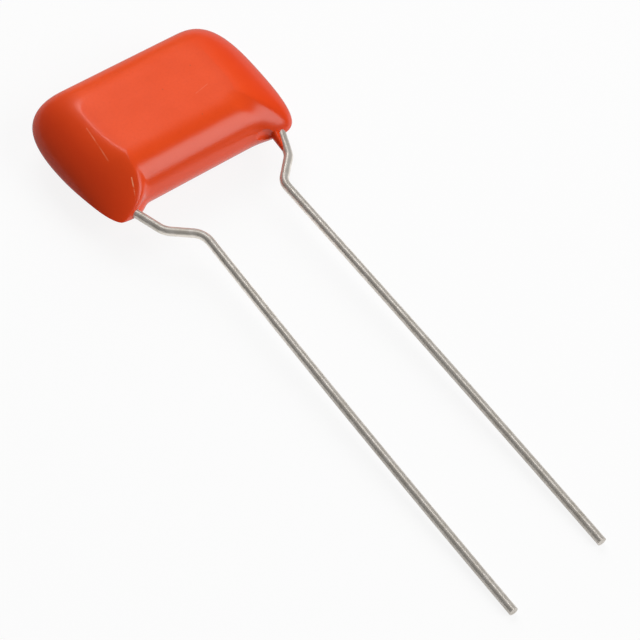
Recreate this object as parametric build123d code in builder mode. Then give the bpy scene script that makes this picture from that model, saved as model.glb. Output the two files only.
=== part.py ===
from build123d import *
import os
from math import cos, radians, sin

# Film capacitor with two radial leads, lying on its broad face with the lead ends down.
# Frame: +X along the winding's axis, the leads point to -Y, +Z is up.
# The origin is on the underside, below the middle of the coated body. Millimetres.

# ---- coated body, its outline measured at mid-thickness --------------------------------
body_length = 20.55         # over the bulged ends
body_thickness = 6.0        # between the two broad faces
back_reach = 6.93           # from the body's middle to the back edge, away from the leads
back_skew = 0.02            # the back edge runs out this much per mm towards the left end
front_reach = 6.25          # from the middle to the hollow of the lead side
end_crown_offset = 0.74     # the ends reach furthest this far behind the middle
corner_length_left = 4.0    # rounded back corners, along the back edge
corner_length_right = 3.5
corner_fullness = 0.705     # handles of the outline's curves, as shares of each curve
end_fullness = 0.66
tip_fullness = 0.565
slope_fullness = 0.5
lip_inset = 2.775           # from each end in to its lip, the drawn-out corner by a lead
lip_reach_left = 7.51
lip_reach_right = 6.99
slope_length = 2.8          # from each lip in to the straight hollow between them

# ---- coated body, the same outline where it meets the two flats ------------------------
flat_crown_offset = 2.0
flat_corner_fullness = 0.75
flat_end_fullness = 0.82
flat_tip_fullness = 0.6
flat_lip_inset = 0.82
flat_slope_length = 1.3

# ---- coated body, how its edges round over to the two flats ----------------------------
end_taper = 4.05            # length over which each end thins down to its nose
end_ridge_power = 1.4       # at the flat's edge: 2 is an ellipse, less makes a sharper ridge
end_power = 1.8             # at the nose: 2 is an ellipse, less is more pointed
nose_length = 3.6           # the back and front edges
nose_power = 2.0
lip_nose_length = 4.53
lip_power = 1.7
outline_step = 7.5          # degrees round the edges from one outline of the coat to the next

# ---- coat at the right lead ------------------------------------------------------------
web_length = 1.7            # thin web of coat down the inner side of the lead
web_root = 0.4              # how far it starts inside the coat
web_width = 0.55
web_thickness = 0.45
web_tip = 0.12
pocket_radius = 1.1         # dimple beside the lead
pocket_depth = 0.26
pocket_along = 0.3          # share of the way from the lip's tip to the hollow
pocket_drop = 0.7           # below mid-thickness

# ---- winding and its soldered ends, inside the coat -----------------------------------
flat_wall = 0.8             # coat over the winding's flats
edge_wall = 1.14            # coat over its rounded edges
end_wall = 2.375            # coat over each soldered end
roll_offset_x = 0.27        # the winding sits off the coat's middle, towards +X
roll_offset_y = 0.3         # and away from the lead side
foil_overhang = 0.9         # bare foil beyond the film at each end, squashed flat
foil_inset = 0.65           # how much the squashing draws the foil in, all round
solder_thickness = 0.6
solder_inset = 0.35         # how much the solder draws in further, at its outer face

# ---- leads -------------------------------------------------------------------------
wire_radius = 0.406
wire_bury_depth = 0.09      # how deep a lead is pressed into the squashed foil
wire_inner_y = 3.4          # inner end of each lead, on the soldered end
exit_depth_left = 0.5       # how far inside its lip each lead turns inward
exit_depth_right = 0.05
exit_radius = 1.2           # bends, on the wire's centre line
left_kink_radius = 1.9
right_kink_radius = 1.4
left_jog_inward = 0.98      # first run of the kink, as it leaves the coat
left_jog_outward = 2.93
left_kink_inward = 2.61     # second run of the kink
left_kink_outward = 2.09
left_straight = 43.9
left_splay = 1.1            # degrees, outward
right_jog_inward = 0.87
right_jog_outward = 2.29
right_kink_inward = 2.02
right_kink_outward = 2.04
right_straight = 43.4
right_splay = 0.45

roll_thickness = body_thickness - 2 * flat_wall
roll_height = back_reach + front_reach - 2 * edge_wall
roll_length = body_length - 2 * (end_wall + solder_thickness + foil_overhang)
half_length = body_length / 2
mid_z = body_thickness / 2
foil_face = roll_length / 2 + foil_overhang
solder_face = foil_face + solder_thickness
lead_x = foil_face + wire_radius - wire_bury_depth


def rounded(height, nose_power, ridge_power):
    """Share of a rounded edge's reach left at a height: 1 at mid-thickness, 0 at a flat."""
    return (1 - abs(height / mid_z) ** nose_power) ** (1 / ridge_power)


def between(at_nose, at_flat, height):
    """A measure of the outline at a height, between its value at mid-thickness and at a flat."""
    return at_flat + (at_nose - at_flat) * rounded(height, end_power, end_ridge_power)


def side_curves(side, height):
    """Handles of the coat's outline on one side, from the back edge round to the hollow."""
    end_x = half_length - end_taper * (1 - rounded(height, end_power, end_ridge_power))
    corner_length = corner_length_left if side < 0 else corner_length_right
    corner_x = end_x - corner_length * end_x / half_length
    crown_y = between(end_crown_offset, flat_crown_offset, height)
    lip_x = end_x - between(lip_inset, flat_lip_inset, height)
    hollow_x = lip_x - between(slope_length, flat_slope_length, height)
    nose = nose_length * (1 - rounded(height, nose_power, nose_power))
    back_y = back_reach - nose
    hollow_y = nose - front_reach
    lip_nose = lip_nose_length * (1 - rounded(height, lip_power, lip_power))
    lip_y = lip_nose - (lip_reach_left if side < 0 else lip_reach_right)
    slope_handle = slope_fullness * (lip_x - hollow_x)
    skew = -side * back_skew
    corner_share = between(corner_fullness, flat_corner_fullness, height)
    corner_handle_x = corner_x + corner_share * (end_x - corner_x)
    end_share = between(end_fullness, flat_end_fullness, height)
    tip_share = between(tip_fullness, flat_tip_fullness, height)
    corner = (
        (corner_x, back_y + skew * corner_x),
        (corner_handle_x, back_y + skew * corner_handle_x),
        (end_x, crown_y + corner_share * (back_y - crown_y)),
        (end_x, crown_y),
    )
    end = (
        (end_x, crown_y),
        (end_x, crown_y + end_share * (lip_y - crown_y)),
        (lip_x + tip_share * (end_x - lip_x), lip_y),
        (lip_x, lip_y),
    )
    slope = (
        (lip_x, lip_y),
        (lip_x - slope_handle, lip_y),
        (hollow_x + slope_handle, hollow_y),
        (hollow_x, hollow_y),
    )
    return [[(side * x, y) for x, y in curve] for curve in (corner, end, slope)]


def coat_outline(height):
    """The coat's outline, seen from above, at a height from mid-thickness."""
    left = side_curves(-1, height)
    right = side_curves(1, height)
    with BuildSketch(Plane.XY.offset(mid_z + height)) as outline:
        with BuildLine():
            Line(left[0][0], right[0][0])
            for curve in right:
                Bezier(*curve)
            Line(right[-1][-1], left[-1][-1])
            for curve in reversed(left):
                Bezier(*reversed(curve))
        make_face()
    return outline.sketch


def lead_route(side, exit_y, jog, kink, straight, splay):
    """Corners of a lead's centre line, left for side -1: jog and kink are (inward, outward)."""
    inward = [0, 0, jog[0], jog[0] + kink[0], jog[0] + kink[0] - straight * sin(radians(splay))]
    outward = [0, jog[1], jog[1] + kink[1], jog[1] + kink[1] + straight * cos(radians(splay))]
    slope = (mid_z - wire_radius) / outward[-1]     # the free end just touches down
    xs = [roll_offset_x + side * (lead_x - step) for step in inward]
    ys = [wire_inner_y] + [exit_y - step for step in outward]
    zs = [mid_z] + [mid_z - slope * step for step in outward]
    return list(zip(xs, ys, zs))


def lead(route, kink_radius):
    """A round wire along the route, with its bends rounded."""
    with BuildPart() as wire:
        with BuildLine() as path:
            FilletPolyline(*route, radius=[exit_radius, kink_radius, kink_radius])
        with BuildSketch(Plane(path.line @ 0, z_dir=path.line % 0)):
            Circle(wire_radius)
        sweep(path=path.line)
    return wire.part


def exit_plane(route, distance):
    """Plane across a lead's first run outside the coat, x towards the inner side."""
    start, bend = Vector(*route[1]), Vector(*route[2])
    along = (bend - start).normalized()
    inner = Vector(0, 0, 1).cross(along)
    if inner.X * route[1][0] > 0:
        inner = inner * -1
    return Plane(origin=start + along * distance, x_dir=inner, z_dir=along)


os.makedirs("parts", exist_ok=True)

# ---- leads: tinned wire, bedded across the winding's ends and kinked inward ---------
left_route = lead_route(
    -1,
    exit_depth_left - lip_reach_left,
    (left_jog_inward, left_jog_outward),
    (left_kink_inward, left_kink_outward),
    left_straight,
    left_splay,
)
right_route = lead_route(
    1,
    exit_depth_right - lip_reach_right,
    (right_jog_inward, right_jog_outward),
    (right_kink_inward, right_kink_outward),
    right_straight,
    right_splay,
)
lead_left = lead(left_route, left_kink_radius)
lead_right = lead(right_route, right_kink_radius)
lead_left.label = "lead_left"
lead_right.label = "lead_right"
export_step(lead_left, "parts/lead_left.step")
export_step(lead_right, "parts/lead_right.step")


def roll_profile(x, inset):
    """The flattened roll's outline across the winding at x, drawn in by an inset all round."""
    with BuildSketch(Plane.YZ.offset(x)) as profile:
        with Locations((roll_offset_y, mid_z)):
            SlotOverall(roll_height - 2 * inset, roll_thickness - 2 * inset)
    return profile.sketch


# ---- winding: film and foil rolled, flattened, its bare foil squashed at the ends ----
with BuildPart() as winding:
    add(roll_profile(roll_offset_x - roll_length / 2, 0))
    extrude(amount=roll_length, dir=(1, 0, 0))
    for side in (-1, 1):
        add(roll_profile(roll_offset_x + side * roll_length / 2, 0))
        add(roll_profile(roll_offset_x + side * foil_face, foil_inset))
        loft(ruled=True)
    for wire in (lead_left, lead_right):
        add(wire, mode=Mode.SUBTRACT)
winding.part.label = "winding"
export_step(winding.part, "parts/winding.step")


def end_solder(side, wire):
    """Solder run over one squashed foil end, with the lead bedded in it."""
    with BuildPart() as solder:
        add(roll_profile(roll_offset_x + side * foil_face, foil_inset))
        add(roll_profile(roll_offset_x + side * solder_face, foil_inset + solder_inset))
        loft(ruled=True)
        add(wire, mode=Mode.SUBTRACT)
    return solder.part


end_solder_left = end_solder(-1, lead_left)
end_solder_right = end_solder(1, lead_right)
end_solder_left.label = "end_solder_left"
end_solder_right.label = "end_solder_right"
export_step(end_solder_left, "parts/end_solder_left.step")
export_step(end_solder_right, "parts/end_solder_right.step")


def web(route):
    """Thin web of coat between a lip and the inner side of its lead."""
    with BuildPart() as fin:
        for distance, width, thickness in (
            (-web_root, web_width, web_thickness),
            (web_length, web_tip, web_tip),
        ):
            with BuildSketch(exit_plane(route, distance)):
                Rectangle(wire_radius + width, thickness, align=(Align.MIN, Align.CENTER))
        loft(ruled=True)
    return fin.part


# ---- coating: one dipped shell that fills the space round the inner pieces ----------
outline_count = round(180 / outline_step)
pocket_edge = Bezier(*side_curves(1, -pocket_drop)[-1]) @ pocket_along

with BuildPart() as coating:
    for level in range(outline_count + 1):
        add(coat_outline(-mid_z * cos(radians(180 * level / outline_count))))
    loft(ruled=True)
    with Locations((pocket_edge.X, pocket_edge.Y + pocket_depth - pocket_radius, mid_z - pocket_drop)):
        Sphere(pocket_radius, mode=Mode.SUBTRACT)
    add(web(right_route))
    for piece in (lead_left, lead_right, winding.part, end_solder_left, end_solder_right):
        add(piece, mode=Mode.SUBTRACT)
coating.part.label = "coating"
export_step(coating.part, "parts/coating.step")
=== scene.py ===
"""A dipped film capacitor: a glossy orange coat over its winding, with two tinned wire leads."""

import math

import bmesh
import bpy
from mathutils import Matrix, Vector
from mathutils.geometry import interpolate_bezier


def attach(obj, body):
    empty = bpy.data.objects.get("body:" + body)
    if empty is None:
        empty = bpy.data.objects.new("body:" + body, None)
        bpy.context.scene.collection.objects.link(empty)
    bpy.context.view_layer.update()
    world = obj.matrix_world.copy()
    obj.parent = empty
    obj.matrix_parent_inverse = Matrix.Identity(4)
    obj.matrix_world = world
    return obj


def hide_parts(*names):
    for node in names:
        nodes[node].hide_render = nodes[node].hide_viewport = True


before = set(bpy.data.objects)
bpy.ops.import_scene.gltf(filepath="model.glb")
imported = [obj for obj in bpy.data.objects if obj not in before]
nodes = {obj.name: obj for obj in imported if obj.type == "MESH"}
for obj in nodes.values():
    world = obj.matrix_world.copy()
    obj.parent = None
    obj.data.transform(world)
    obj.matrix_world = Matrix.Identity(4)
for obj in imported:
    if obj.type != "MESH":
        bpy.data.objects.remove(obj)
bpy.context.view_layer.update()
MM = 0.001

# ---- coat, millimetres, its outline measured at mid-thickness --------------------------
body_length = 20.55
body_thickness = 6.0
back_reach = 6.93           # from the body's middle to the back edge, away from the leads
back_skew = 0.02            # the back edge runs out this much per mm towards the left end
front_reach = 6.25          # from the middle to the hollow of the lead side

# ---- coat, the form of its two sides ---------------------------------------------------
# A pair goes from mid-thickness to the flats. A fullness sets the handles of one of the
# outline's curves, as a share of the curve.
end_crown = (0.74, 2.0)     # the ends reach furthest this far behind the middle
corner_fullness = (0.705, 0.75)
slope_fullness = 0.5
left_side = {
    "corner_length": 4.0,        # rounded back corner, along the back edge
    "end_fullness": (0.69, 0.82),
    "tip_fullness": 0.5,
    "lip_reach": 7.35,           # of the drawn-out corner by the lead
    "lip_inset": (1.6, 0.82),    # from the end in to the lip
    "lip_sweep": 1.75,           # how much further in the lip's crest swings half way up
    "slope_length": (3.6, 0.5),  # from the lip in to the straight hollow
    "slope_haste": 2,            # how soon the slope shortens above mid-thickness
    "crest_sharpness": 1.0,      # of the crest from the lip up to its flat, 0 being round
}
right_side = {
    "corner_length": 3.5,
    "end_fullness": (0.77, 0.82),
    "tip_fullness": 0.8,
    "lip_reach": 7.0,
    "lip_inset": (2.0, 0.45),
    "lip_sweep": 0.0,
    "slope_length": (3.6, 1.7),
    "slope_haste": 1,
    "crest_sharpness": 0.25,
}
crest_start = 0.2           # share of a crest's sharpness that it has at mid-thickness
crest_power = 1.2           # how it gains the rest on its way up to the flat
crest_pinch = 0.9           # share of the tip's fullness that a sharp crest takes away

# ---- coat, how its edges round over, a power of 2 and 2 being an ellipse ----------------
end_round = {"length": 4.05, "nose_power": 1.8, "flat_power": 1.4}
edge_round = {"length": 3.6, "nose_power": 2.0, "flat_power": 2.0}
lip_round = {"length": 4.4, "nose_power": 1.5, "flat_power": 1.5}

# ---- coat, its skin --------------------------------------------------------------------
outline_step = 2.5          # degrees round the edges from one outline to the next
curve_steps = 20            # points along each of the outline's eight curves
flat_rings = (0.94, 0.86, 0.74, 0.58, 0.4, 0.2)
sag_height = 0.012          # slow waves that the dip dried with
sag_size = 5.0
coat_crease = 40            # degrees, past which an edge stays sharp

# ---- coat, small features by the leads -------------------------------------------------
pocket_place = Vector((6.5, -6.55, 3.25))  # a dent on the slope beside the right lead
pocket_out = Vector((-0.35, -0.9, 0.25)).normalized()
pocket_radius = 1.1
pocket_depth = 0.3
web_ends = Vector((7.5, -6.3, 3.0)), Vector((6.95, -8.85, 2.93))  # down the right lead
web_radii = (0.62, 0.17)
web_sides = 32
web_flatness = 0.75
bead_places = (-7.85, -6.95, 3.1), (7.75, -6.8, 3.1)  # where each lead leaves the coat
bead_radius = 0.33
ball_segments = 48

# ---- coat, its colours and marks -------------------------------------------------------
orange_dark = (0.83, 0.072, 0.0085, 1)
orange_light = (0.87, 0.079, 0.0105, 1)
# painted shade: the lead side is coloured darker, standing in for the shade it is in
orange_lead_side_painted_shade = (0.78, 0.062, 0.0070, 1)
# painted shade: both ends are coloured darker, standing in for the shade they are in
orange_ends_painted_shade = (0.70, 0.047, 0.0050, 1)
orange_flecks = (0.70, 0.052, 0.006, 1)
fleck_strength = 0.2
# pale: the colour of the scratches and of the painted highlight down the left lip's crest
scratch_and_glint_colour = (0.95, 0.45, 0.25, 1)
# painted shade: small dark dots stand in for the shade inside tiny pits
pit_shade_colour = (0.30, 0.07, 0.03, 1)
pit_shade_strength = 0.45
end_shade_range = (5.2, 8.5)        # from mid-length, where the painted shade of the ends comes in
lead_side_shade_range = (2.5, 5.5)         # from the middle towards the leads, where the painted shade of the lead side comes in
upper_range = (2.6, 3.2)             # height over which the scratches and the painted highlight come in
scratches_and_glint = (
    # start, end, width, strength
    # the first two lines are a painted highlight down the left lip's crest, the others are
    # scratches
    ((-6.38, -5.15), (-6.75, -6.1), 0.07, 0.9),
    ((-6.75, -6.1), (-7.05, -6.75), 0.04, 0.4),
    ((-6.8, 0.95), (-7.15, -2.85), 0.07, 0.28),
    ((3.0, -1.2), (4.4, -0.9), 0.05, 0.14),
)
line_core = 0.4          # share of each line's width that is at full strength

# ---- leads, millimetres ----------------------------------------------------------------
wire_radius = 0.406
wire_sides = 32
bend_steps = 24
merge_distance = 0.0005
cut_chamfer = 0.04          # rounded rim of each cut end
cut_chamfer_steps = 3
wire_crease = 50            # degrees, past which an edge stays sharp
left_wire = {
    "corners": (
        (-7.346, 3.4, 3.0),        # inner end, on the solder
        (-7.346, -7.01, 3.0),      # turns inward, inside the lip
        (-6.366, -9.94, 2.845),    # kink
        (-3.756, -12.03, 2.734),   # last bend
        (-4.599, -55.922, 0.406),  # cut end, on the table
    ),
    "bends": (1.2, 1.9, 1.9),      # radius of each, on the wire's centre line
    "bow": -0.15,                  # of the long straight, to one side, seen from above
}
right_wire = {
    "corners": (
        (7.886, 3.4, 3.0),
        (7.886, -6.94, 3.0),
        (7.016, -9.23, 2.879),
        (4.996, -11.27, 2.768),
        (5.337, -54.669, 0.406),
    ),
    "bends": (1.2, 1.4, 1.4),
    "bow": 0.1,
}

# ---- light and camera, metres and degrees ----------------------------------------------
camera_target = Vector((-1.26, -25.12, 3.0)) * MM
camera_azimuth = -38.18
camera_elevation = 52.385
camera_roll = 2.66
camera_distance = 0.3484
camera_lens = 237.2
camera_sensor = 36
camera_range = (0.01, 10)   # nearest and furthest that it sees
light_distance = 0.6
front_light = {"towards": (33, 38), "size": (0.28, 0.44), "brightness": 3.3}
above_light = {"towards": (158, 62), "size": (0.09, 0.5), "brightness": 3.5, "turn": 12}
back_fill = {"towards": (150, 38), "size": (0.5, 0.5), "brightness": 3.6, "shows": False}
front_fill = {"towards": (32, 30), "size": (0.5, 0.5), "brightness": 1.8, "shows": False}
air_light = 0.12            # dim light from all round

# ---- floor, metres ---------------------------------------------------------------------
floor_size = 3.0
floor_sink = 0.00002
floor_colour = (0.8, 0.8, 0.8, 1)
floor_roughness = 0.9
floor_glow = 0.88           # share of plain white in the floor as it is seen
painted_floor_gloss = (0.4, 1.4, 0.75)  # its brightness in the gloss, a painted shadow behind the part and a painted pool of light by the lead side: behind, by the lead side, beyond
floor_near = (0.002, 0.012)     # from the middle towards the leads, where the second comes in
floor_far = (0.016, 0.03)       # and where the third does


# ======================================================================================
# Selection and small mesh tools
# ======================================================================================

def only(piece):
    """Deselects everything, then makes one piece selected and active."""
    bpy.ops.object.select_all(action="DESELECT")
    piece.select_set(True)
    bpy.context.view_layer.objects.active = piece


def linked(name, data):
    """A new object in the scene that holds a mesh, curve, lamp or camera."""
    made = bpy.data.objects.new(name, data)
    bpy.context.scene.collection.objects.link(made)
    return made


def apply_all(piece):
    """Applies a piece's modifiers in order."""
    only(piece)
    for modifier in list(piece.modifiers):
        bpy.ops.object.modifier_apply(modifier=modifier.name)


def direction(azimuth, elevation):
    """Unit vector from the middle of the scene outwards; azimuth 0 is -Y, elevation is up."""
    a, e = math.radians(azimuth), math.radians(elevation)
    return Vector((math.sin(a) * math.cos(e), -math.cos(a) * math.cos(e), math.sin(e)))


# ======================================================================================
# Shader maths
# ======================================================================================

class Value:
    """A socket in a material, so that shader maths reads as an expression."""

    def __init__(self, tree, socket):
        self.tree = tree
        self.socket = socket

    def math(self, operation, *others):
        node = self.tree.nodes.new("ShaderNodeMath")
        node.operation = operation
        for slot, item in zip(node.inputs, (self, *others)):
            if isinstance(item, Value):
                self.tree.links.new(item.socket, slot)
            else:
                slot.default_value = item
        return Value(self.tree, node.outputs[0])

    def __add__(self, other):
        return self.math("ADD", other)

    __radd__ = __add__

    def __mul__(self, other):
        return self.math("MULTIPLY", other)

    __rmul__ = __mul__

    def __sub__(self, other):
        return self.math("SUBTRACT", other)

    def __rsub__(self, other):
        return (self * -1).math("ADD", other)

    def clamped(self):
        return self.math("MAXIMUM", 0).math("MINIMUM", 1)

    def between(self, low, high):
        """0 below low and 1 above high, straight between."""
        return ((self - low) * (1 / (high - low))).clamped()


class Finish:
    """A node material and the parts it is put together from."""

    def __init__(self, name, **settings):
        self.material = bpy.data.materials.new(name)
        self.material.use_nodes = True
        self.tree = self.material.node_tree
        self.shader = self.tree.nodes["Principled BSDF"]
        for socket, value in settings.items():
            self.shader.inputs[socket.replace("_", " ")].default_value = value
        self.place = self.node("ShaderNodeTexCoord").outputs["Object"]

    def fill(self, slot, item):
        """Links a socket to a value or to another socket, or sets it to a number or colour."""
        if isinstance(item, Value):
            item = item.socket
        if isinstance(item, bpy.types.NodeSocket):
            self.tree.links.new(item, slot)
        else:
            slot.default_value = item

    def node(self, kind, settings=None, **sockets):
        """Any node: its settings first, then the values or links of its sockets."""
        made = self.tree.nodes.new(kind)
        for key, value in (settings or {}).items():
            setattr(made, key, value)
        for key, value in sockets.items():
            self.fill(made.inputs[key.replace("_", " ")], value)
        return made

    def axes(self):
        """The place on the piece, as its X, Y and Z in metres."""
        parts = self.node("ShaderNodeSeparateXYZ", Vector=self.place).outputs
        return [Value(self.tree, part) for part in parts]

    def stretched(self, scale):
        return self.node("ShaderNodeMapping", Vector=self.place, Scale=scale).outputs[0]

    def noise(self, size, detail=2.0, place=None):
        """Cloudy noise, 0 to 1, with lumps of a size in millimetres."""
        made = self.node(
            "ShaderNodeTexNoise",
            Vector=place or self.place,
            Scale=1 / (size * MM),
            Detail=detail,
        )
        return Value(self.tree, made.outputs["Fac"])

    def specks(self, size):
        """Distance to scattered points, a cell being a size in millimetres."""
        made = self.node("ShaderNodeTexVoronoi", Vector=self.place, Scale=1 / (size * MM))
        return Value(self.tree, made.outputs["Distance"])

    def blend(self, share, first, second):
        """Mixes two colours by a share."""
        made = self.node("ShaderNodeMix", {"data_type": "RGBA"})
        self.fill(made.inputs[0], share)
        self.fill(made.inputs[6], first)
        self.fill(made.inputs[7], second)
        return made.outputs[2]

    def bump(self, height, depth, under=None):
        """Raises the surface by a height from 0 to 1 times a depth in millimetres."""
        made = self.node("ShaderNodeBump", Strength=1.0, Distance=depth * MM, Height=height)
        if under:
            self.fill(made.inputs["Normal"], under)
        return made.outputs[0]

    def set(self, **links):
        """Links sockets of the finish's shader, and gives the finished material."""
        for key, value in links.items():
            self.fill(self.shader.inputs[key.replace("_", " ")], value)
        return self.material


# ======================================================================================
# Finishes
# ======================================================================================

def orange_epoxy():
    """Glossy dipped epoxy, mottled, with a few scratches. Painted shade darkens it towards the ends
    and the lead side, small dark dots are painted shade in pits, and a pale line down the left
    lip's crest is a painted highlight.
    """
    finish = Finish("orange_epoxy", IOR=1.46)
    x, y, z = finish.axes()
    upper = z.between(*(limit * MM for limit in upper_range))
    # painted shade towards both ends
    end_shade = x.math("ABSOLUTE").between(*(limit * MM for limit in end_shade_range))
    # painted shade towards the lead side
    lead_side_shade = (y * -1).between(*(limit * MM for limit in lead_side_shade_range))

    def line_mask(start, end, width):
        """1 along a line on the upper side between two places, seen from above, 0 off it."""
        run = Vector(end) - Vector(start)
        near_x, near_y = x - start[0] * MM, y - start[1] * MM
        reached = (near_x * run.x + near_y * run.y) * (1 / (run.length_squared * MM))
        reached = reached.clamped()
        off_x, off_y = near_x - reached * (run.x * MM), near_y - reached * (run.y * MM)
        off = (off_x * off_x + off_y * off_y).math("SQRT")
        return (1 - off.between(line_core * width * MM, width * MM)) * upper

    mottle = finish.noise(2.2, detail=3).between(0.3, 0.7)
    fine = finish.noise(0.25, detail=4)
    colour = finish.blend(mottle, orange_dark, orange_light)
    colour = finish.blend(lead_side_shade, colour, orange_lead_side_painted_shade)
    colour = finish.blend(end_shade, colour, orange_ends_painted_shade)
    colour = finish.blend(fine.between(0.45, 0.75) * fleck_strength, colour, orange_flecks)
    broken = finish.noise(0.8, detail=2).between(0.3, 0.6)
    # scratches, and a painted highlight down the left lip's crest
    for start, end, width, strength in scratches_and_glint:
        wear_and_glint = line_mask(start, end, width) * (broken * strength)
        colour = finish.blend(wear_and_glint, colour, scratch_and_glint_colour)
    # painted shade of tiny pits, as small dark dots
    pit_shade = 1 - finish.specks(1.7).between(0.02, 0.05)
    colour = finish.blend(pit_shade * pit_shade_strength, colour, pit_shade_colour)
    roughness = 0.18 + 0.07 * finish.noise(1.1, detail=3) + 0.03 * fine
    waves = finish.bump(finish.noise(1.6, detail=1), 0.006)
    grain = finish.bump(finish.noise(0.12, detail=2), 0.0012, waves)
    return finish.set(Base_Color=colour, Roughness=roughness, Normal=grain)


def tinned_copper():
    """Satin tinned wire with drawing lines along it and a mottled tin film."""
    finish = Finish("tinned_copper", Metallic=0.6)
    bright, dull = (0.76, 0.71, 0.65, 1), (0.62, 0.57, 0.50, 1)
    lines = finish.noise(0.09, detail=2, place=finish.stretched((1, 0.04, 1)))
    film = finish.noise(0.6, detail=4)
    return finish.set(
        Base_Color=finish.blend(film.between(0.35, 0.7), bright, dull),
        Roughness=0.24 + 0.16 * film + 0.10 * lines,
        Normal=finish.bump(lines, 0.006, finish.bump(film, 0.01)),
    )


def end_solder():
    """Dull grey solder, lumpy where it was dabbed on."""
    finish = Finish("end_solder", Metallic=1.0)
    dark, light = (0.45, 0.45, 0.44, 1), (0.6, 0.6, 0.59, 1)
    lumps = finish.noise(0.8, detail=3)
    return finish.set(
        Base_Color=finish.blend(lumps, dark, light),
        Roughness=0.35 + 0.25 * lumps,
        Normal=finish.bump(lumps, 0.08),
    )


def film_and_foil():
    """Clear film over bright foil, in fine rolled lines along the winding."""
    finish = Finish("film_and_foil", Metallic=0.6)
    dark, light = (0.66, 0.67, 0.68, 1), (0.78, 0.79, 0.80, 1)
    lines = finish.noise(0.05, detail=2, place=finish.stretched((0.02, 1, 1)))
    return finish.set(
        Base_Color=finish.blend(lines, dark, light),
        Roughness=0.2 + 0.2 * lines,
        Normal=finish.bump(lines, 0.01),
    )


# ======================================================================================
# Coat
# ======================================================================================

def rounded(share, edge):
    """How far an edge has rounded over, 0 at mid-thickness and 1 at the flat."""
    return 1 - (1 - share ** edge["nose_power"]) ** (1 / edge["flat_power"])


def side_curves(side, share):
    """Handles of the coat's outline on one side, from the back edge round to the hollow.

    The side is -1 for the left and 1 for the right. The share of the way from mid-thickness
    to a flat is 0 to 1.
    """
    form = right_side if side > 0 else left_side
    flatness = rounded(share, end_round)
    crown_y, corner_full, end_full, lip_in = (
        at_nose + (at_flat - at_nose) * flatness
        for at_nose, at_flat in (
            end_crown, corner_fullness, form["end_fullness"], form["lip_inset"]
        )
    )
    lip_in += form["lip_sweep"] * 4 * share * (1 - share)
    long, short = form["slope_length"]
    slope = short + (long - short) * (1 - share) ** form["slope_haste"]
    crest = form["crest_sharpness"] * (crest_start + (1 - crest_start) * share ** crest_power)
    tip_full = form["tip_fullness"] * (1 - crest_pinch * crest)
    end_x = body_length / 2 - end_round["length"] * flatness
    corner_x = end_x * (1 - 2 * form["corner_length"] / body_length)
    lip_x = end_x - lip_in
    hollow_x = lip_x - slope
    edge_in = edge_round["length"] * rounded(share, edge_round)
    back_y = back_reach - edge_in
    hollow_y = edge_in - front_reach
    lip_y = lip_round["length"] * rounded(share, lip_round) - form["lip_reach"]
    skew = -side * back_skew
    handle_x = corner_x + corner_full * (end_x - corner_x)
    back_corner = (
        (corner_x, back_y + skew * corner_x),
        (handle_x, back_y + skew * handle_x),
        (end_x, crown_y + corner_full * (back_y - crown_y)),
        (end_x, crown_y),
    )
    end = (
        (end_x, crown_y),
        (end_x, crown_y + end_full * (lip_y - crown_y)),
        (lip_x + tip_full * (end_x - lip_x), lip_y),
        (lip_x, lip_y),
    )
    lip_slope = (
        (lip_x, lip_y),
        (lip_x - slope_fullness * slope, lip_y + crest * slope_fullness * (hollow_y - lip_y)),
        (hollow_x + slope_fullness * slope, hollow_y),
        (hollow_x, hollow_y),
    )
    return [
        [Vector((side * x, y, 0)) for x, y in curve] for curve in (back_corner, end, lip_slope)
    ]


def straight(start, end):
    """Handles of a straight curve."""
    return [start, start.lerp(end, 1 / 3), start.lerp(end, 2 / 3), end]


def coat_outline(height):
    """Points round the coat, in metres, at a height from mid-thickness as a share of half of it."""
    left, right = (side_curves(side, abs(height)) for side in (-1, 1))
    curves = [straight(left[0][0], right[0][0]), *right, straight(right[-1][-1], left[-1][-1])]
    curves += [list(reversed(curve)) for curve in reversed(left)]
    ring = []
    for curve in curves:
        ring += interpolate_bezier(*curve, curve_steps + 1)[:-1]
    lift = Vector((0, 0, body_thickness / 2 * (1 + height)))
    return [(point + lift) * MM for point in ring]


def centre_of(ring):
    return sum(ring, Vector()) / len(ring)


def drawn_in(ring, share):
    """A smaller copy of a ring on one of the flats, towards the flat's middle."""
    middle = centre_of(ring)
    return [middle.lerp(point, share) for point in ring]


def coat_skin():
    """The dipped coat as one smooth skin of outlines joined from flat to flat."""
    steps = round(180 / outline_step)
    rings = [coat_outline(-math.cos(math.pi * step / steps)) for step in range(steps + 1)]
    flats = [[drawn_in(ring, share) for share in flat_rings] for ring in (rings[0], rings[-1])]
    rings = flats[0][::-1] + rings + flats[1]
    work = bmesh.new()
    loops = [[work.verts.new(point) for point in ring] for ring in rings]
    for low, high in zip(loops, loops[1:]):
        for a, b, c, d in zip(low, low[1:] + low[:1], high[1:] + high[:1], high):
            work.faces.new((a, b, c, d))
    for loop in (loops[0], loops[-1]):
        middle = work.verts.new(centre_of([corner.co for corner in loop]))
        for a, b in zip(loop, loop[1:] + loop[:1]):
            work.faces.new((a, b, middle))
    bmesh.ops.recalc_face_normals(work, faces=work.faces)
    mesh = bpy.data.meshes.new("coat_skin")
    work.to_mesh(mesh)
    work.free()
    skin = linked("coat_skin", mesh)
    waves = bpy.data.textures.new("sag", "CLOUDS")
    waves.noise_scale = sag_size * MM
    waves.noise_depth = 1
    sag = skin.modifiers.new("sag", "DISPLACE")
    sag.texture = waves
    sag.texture_coords = "LOCAL"
    sag.strength = sag_height * MM
    sag.mid_level = 0.5
    apply_all(skin)
    return skin


def ball(name, place, radius):
    bpy.ops.mesh.primitive_uv_sphere_add(
        segments=ball_segments,
        ring_count=ball_segments // 2,
        radius=radius * MM,
        location=place * MM,
    )
    made = bpy.context.active_object
    made.name = name
    return made


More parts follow.
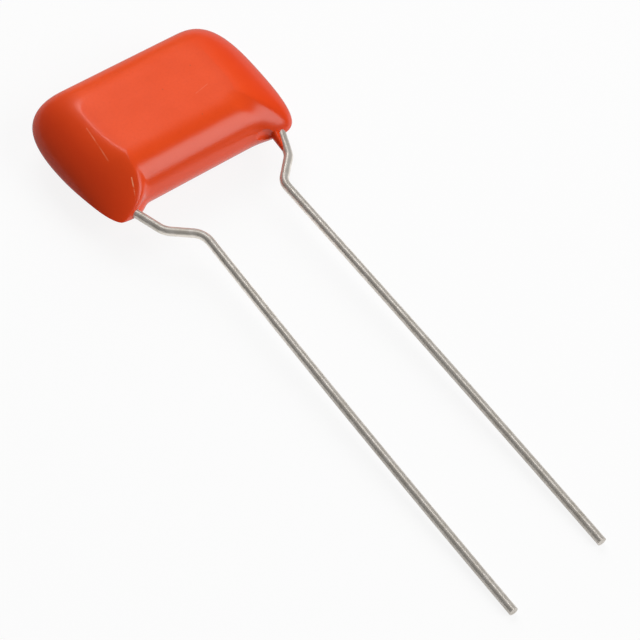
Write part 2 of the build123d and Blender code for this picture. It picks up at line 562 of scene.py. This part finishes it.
def web():
    """The tapered film of coat that ran down the inner side of the right lead."""
    root, tip = web_ends
    run = tip - root
    bpy.ops.mesh.primitive_cone_add(
        vertices=web_sides,
        radius1=web_radii[0] * MM,
        radius2=web_radii[1] * MM,
        depth=run.length * MM,
        location=(root + tip) / 2 * MM,
        rotation=run.to_track_quat("Z", "X").to_euler(),
    )
    made = bpy.context.active_object
    made.name = "web"
    made.scale.y = web_flatness
    return made


def change(piece, solid, operation):
    """Joins a solid to a piece or takes it away, and removes the solid."""
    boolean = piece.modifiers.new("change", "BOOLEAN")
    boolean.operation = operation
    boolean.solver = "EXACT"
    boolean.object = solid
    apply_all(piece)
    bpy.data.objects.remove(solid)


def dipped_coat():
    """The skin with its dent, web and beads by the leads."""
    skin = coat_skin()
    centre = pocket_place + pocket_out * (pocket_radius - pocket_depth)
    change(skin, ball("pocket", centre, pocket_radius), "DIFFERENCE")
    change(skin, web(), "UNION")
    for place in bead_places:
        change(skin, ball("bead", Vector(place), bead_radius), "UNION")
    only(skin)
    bpy.ops.object.shade_smooth_by_angle(angle=math.radians(coat_crease))
    return skin


# ======================================================================================
# Leads
# ======================================================================================

def wire_curve(name, wire):
    """A round wire along its corners, with each bend an arc and the last run bowed."""
    points = [Vector(c) * MM for c in wire["corners"]]
    runs = [(b - a).normalized() for a, b in zip(points, points[1:])]
    # Each stop: its place, the directions before and after it, and the handles of an arc.
    stops = [(points[0], runs[0], runs[0], 0.0, 0.0)]
    for corner, before, after, radius in zip(points[1:-1], runs, runs[1:], wire["bends"]):
        turn = before.angle(after)
        reach = radius * MM * math.tan(turn / 2)
        handle = 4 / 3 * radius * MM * math.tan(turn / 4)
        stops.append((corner - before * reach, before, before, 0.0, handle))
        stops.append((corner + after * reach, after, after, handle, 0.0))
    stops.append((points[-1], runs[-1], runs[-1], 0.0, 0.0))
    curve = bpy.data.curves.new(name, "CURVE")
    curve.dimensions = "3D"
    curve.bevel_depth = wire_radius * MM
    curve.bevel_resolution = wire_sides // 4 - 1
    curve.use_fill_caps = True
    curve.resolution_u = bend_steps
    spline = curve.splines.new("BEZIER")
    spline.bezier_points.add(len(stops) - 1)
    for index, (place, before, after, back, ahead) in enumerate(stops):
        point = spline.bezier_points[index]
        point.handle_left_type = point.handle_right_type = "FREE"
        point.co = place
        if not back and index:
            back = (place - stops[index - 1][0]).length / 3
        if not ahead and index < len(stops) - 1:
            ahead = (stops[index + 1][0] - place).length / 3
        point.handle_left = place - before * back
        point.handle_right = place + after * ahead
    sideways = Vector((wire["bow"] * MM * 4 / 3, 0, 0))
    spline.bezier_points[-2].handle_right += sideways
    spline.bezier_points[-1].handle_left += sideways
    piece = linked(name, curve)
    only(piece)
    bpy.ops.object.convert(target="MESH")
    return bpy.context.view_layer.objects.active


def lead_wire(name, wire):
    """One lead, its two cut ends given a small rounded rim."""
    lead = wire_curve(name, wire)
    only(lead)
    bpy.ops.object.mode_set(mode="EDIT")
    bpy.ops.mesh.select_all(action="SELECT")
    bpy.ops.mesh.remove_doubles(threshold=merge_distance * MM)
    bpy.ops.mesh.normals_make_consistent(inside=False)
    bpy.ops.mesh.select_all(action="DESELECT")
    bpy.ops.object.mode_set(mode="OBJECT")
    for face in lead.data.polygons:  # the two caps are the only faces past four corners
        face.select = len(face.vertices) > 4
    bpy.ops.object.mode_set(mode="EDIT")
    bpy.ops.mesh.select_mode(type="FACE")
    bpy.ops.mesh.region_to_loop()
    bpy.ops.mesh.bevel(offset=cut_chamfer * MM, segments=cut_chamfer_steps, affect="EDGES")
    bpy.ops.object.mode_set(mode="OBJECT")
    bpy.ops.object.shade_smooth_by_angle(angle=math.radians(wire_crease))
    return lead


# ======================================================================================
# Light, floor and camera
# ======================================================================================

def softbox(name, light):
    """A soft lamp that faces the part. One that doesn't show is left out of the gloss."""
    lamp = bpy.data.lights.new(name, "AREA")
    lamp.shape = "RECTANGLE"
    lamp.size, lamp.size_y = light["size"]
    lamp.energy = light["brightness"] * math.pi * lamp.size * lamp.size_y
    box = linked(name, lamp)
    out = direction(*light["towards"])
    box.location = out * light_distance
    box.rotation_mode = "QUATERNION"
    turn = Matrix.Rotation(math.radians(light.get("turn", 0)), 3, "Z")
    box.rotation_quaternion = (out.to_track_quat("Z", "Y").to_matrix() @ turn).to_quaternion()
    box.visible_glossy = light.get("shows", True)


def pale_floor():
    """A white floor that still takes the part's shadow. In the gloss its glow is painted, dim
    behind the part as a painted shadow and bright by the lead side as a painted pool of light.
    """
    bpy.ops.mesh.primitive_plane_add(size=floor_size, location=(0, 0, -floor_sink))
    floor = bpy.context.active_object
    floor.name = "floor"
    paint = Finish("floor_paint", Roughness=floor_roughness, Base_Color=floor_colour)
    rays = paint.node("ShaderNodeLightPath").outputs
    ahead = paint.axes()[1] * -1
    gloss = Value(paint.tree, rays["Is Glossy Ray"])
    # painted shadow and painted pool of light, seen only in reflections
    behind, beside, beyond = painted_floor_gloss
    painted_gloss = behind + (beside - behind) * ahead.between(*floor_near)
    painted_gloss = painted_gloss + (beyond - beside) * ahead.between(*floor_far)
    glow = paint.node("ShaderNodeEmission", Strength=1 - gloss + gloss * painted_gloss)
    seen = Value(paint.tree, rays["Is Camera Ray"]) + Value(paint.tree, rays["Is Transmission Ray"])
    seen = seen * floor_glow + gloss
    mixed = paint.node("ShaderNodeMixShader", Fac=seen.clamped())
    paint.tree.links.new(paint.shader.outputs[0], mixed.inputs[1])
    paint.tree.links.new(glow.outputs[0], mixed.inputs[2])
    paint.tree.links.new(mixed.outputs[0], paint.tree.nodes["Material Output"].inputs["Surface"])
    floor.data.materials.append(paint.material)


def surroundings():
    """Dim grey all round, and white where only the camera looks past the floor."""
    world = bpy.data.worlds.new("surroundings")
    bpy.context.scene.world = world
    world.use_nodes = True
    tree = world.node_tree
    air = tree.nodes["Background"]
    rays = Value(tree, tree.nodes.new("ShaderNodeLightPath").outputs["Is Camera Ray"])
    air.inputs["Color"].default_value = (1, 1, 1, 1)
    tree.links.new((air_light + (1 - air_light) * rays).socket, air.inputs["Strength"])


def camera():
    data = bpy.data.cameras.new("camera")
    data.lens = camera_lens
    data.sensor_width = camera_sensor
    data.clip_start, data.clip_end = camera_range
    view = linked("camera", data)
    back = direction(camera_azimuth, camera_elevation)
    level = back.to_track_quat("Z", "Y").to_matrix()
    roll = Matrix.Rotation(math.radians(camera_roll), 3, "Z")
    view.location = camera_target + back * camera_distance
    view.rotation_mode = "QUATERNION"
    view.rotation_quaternion = (level @ roll).to_quaternion()
    bpy.context.scene.camera = view


# ======================================================================================
# The part and its scene
# ======================================================================================

def dress(piece, material, slot, *replaced):
    piece.data.materials.clear()
    piece.data.materials.append(material)
    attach(piece, "root")
    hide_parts(*replaced)


epoxy = orange_epoxy()
tin = tinned_copper()
solder = end_solder()
dress(dipped_coat(), epoxy, "orange_epoxy", "coating")
dress(lead_wire("wire_left", left_wire), tin, "tinned_copper", "lead_left")
dress(lead_wire("wire_right", right_wire), tin, "tinned_copper", "lead_right")
for name, material in (
    ("winding", film_and_foil()),
    ("end_solder_left", solder),
    ("end_solder_right", solder),
):
    nodes[name].data.materials.clear()
    nodes[name].data.materials.append(material)

pale_floor()
surroundings()
softbox("front", front_light)
softbox("above", above_light)
softbox("back_fill", back_fill)
softbox("front_fill", front_fill)
camera()
bpy.context.scene.view_settings.view_transform = "Standard"
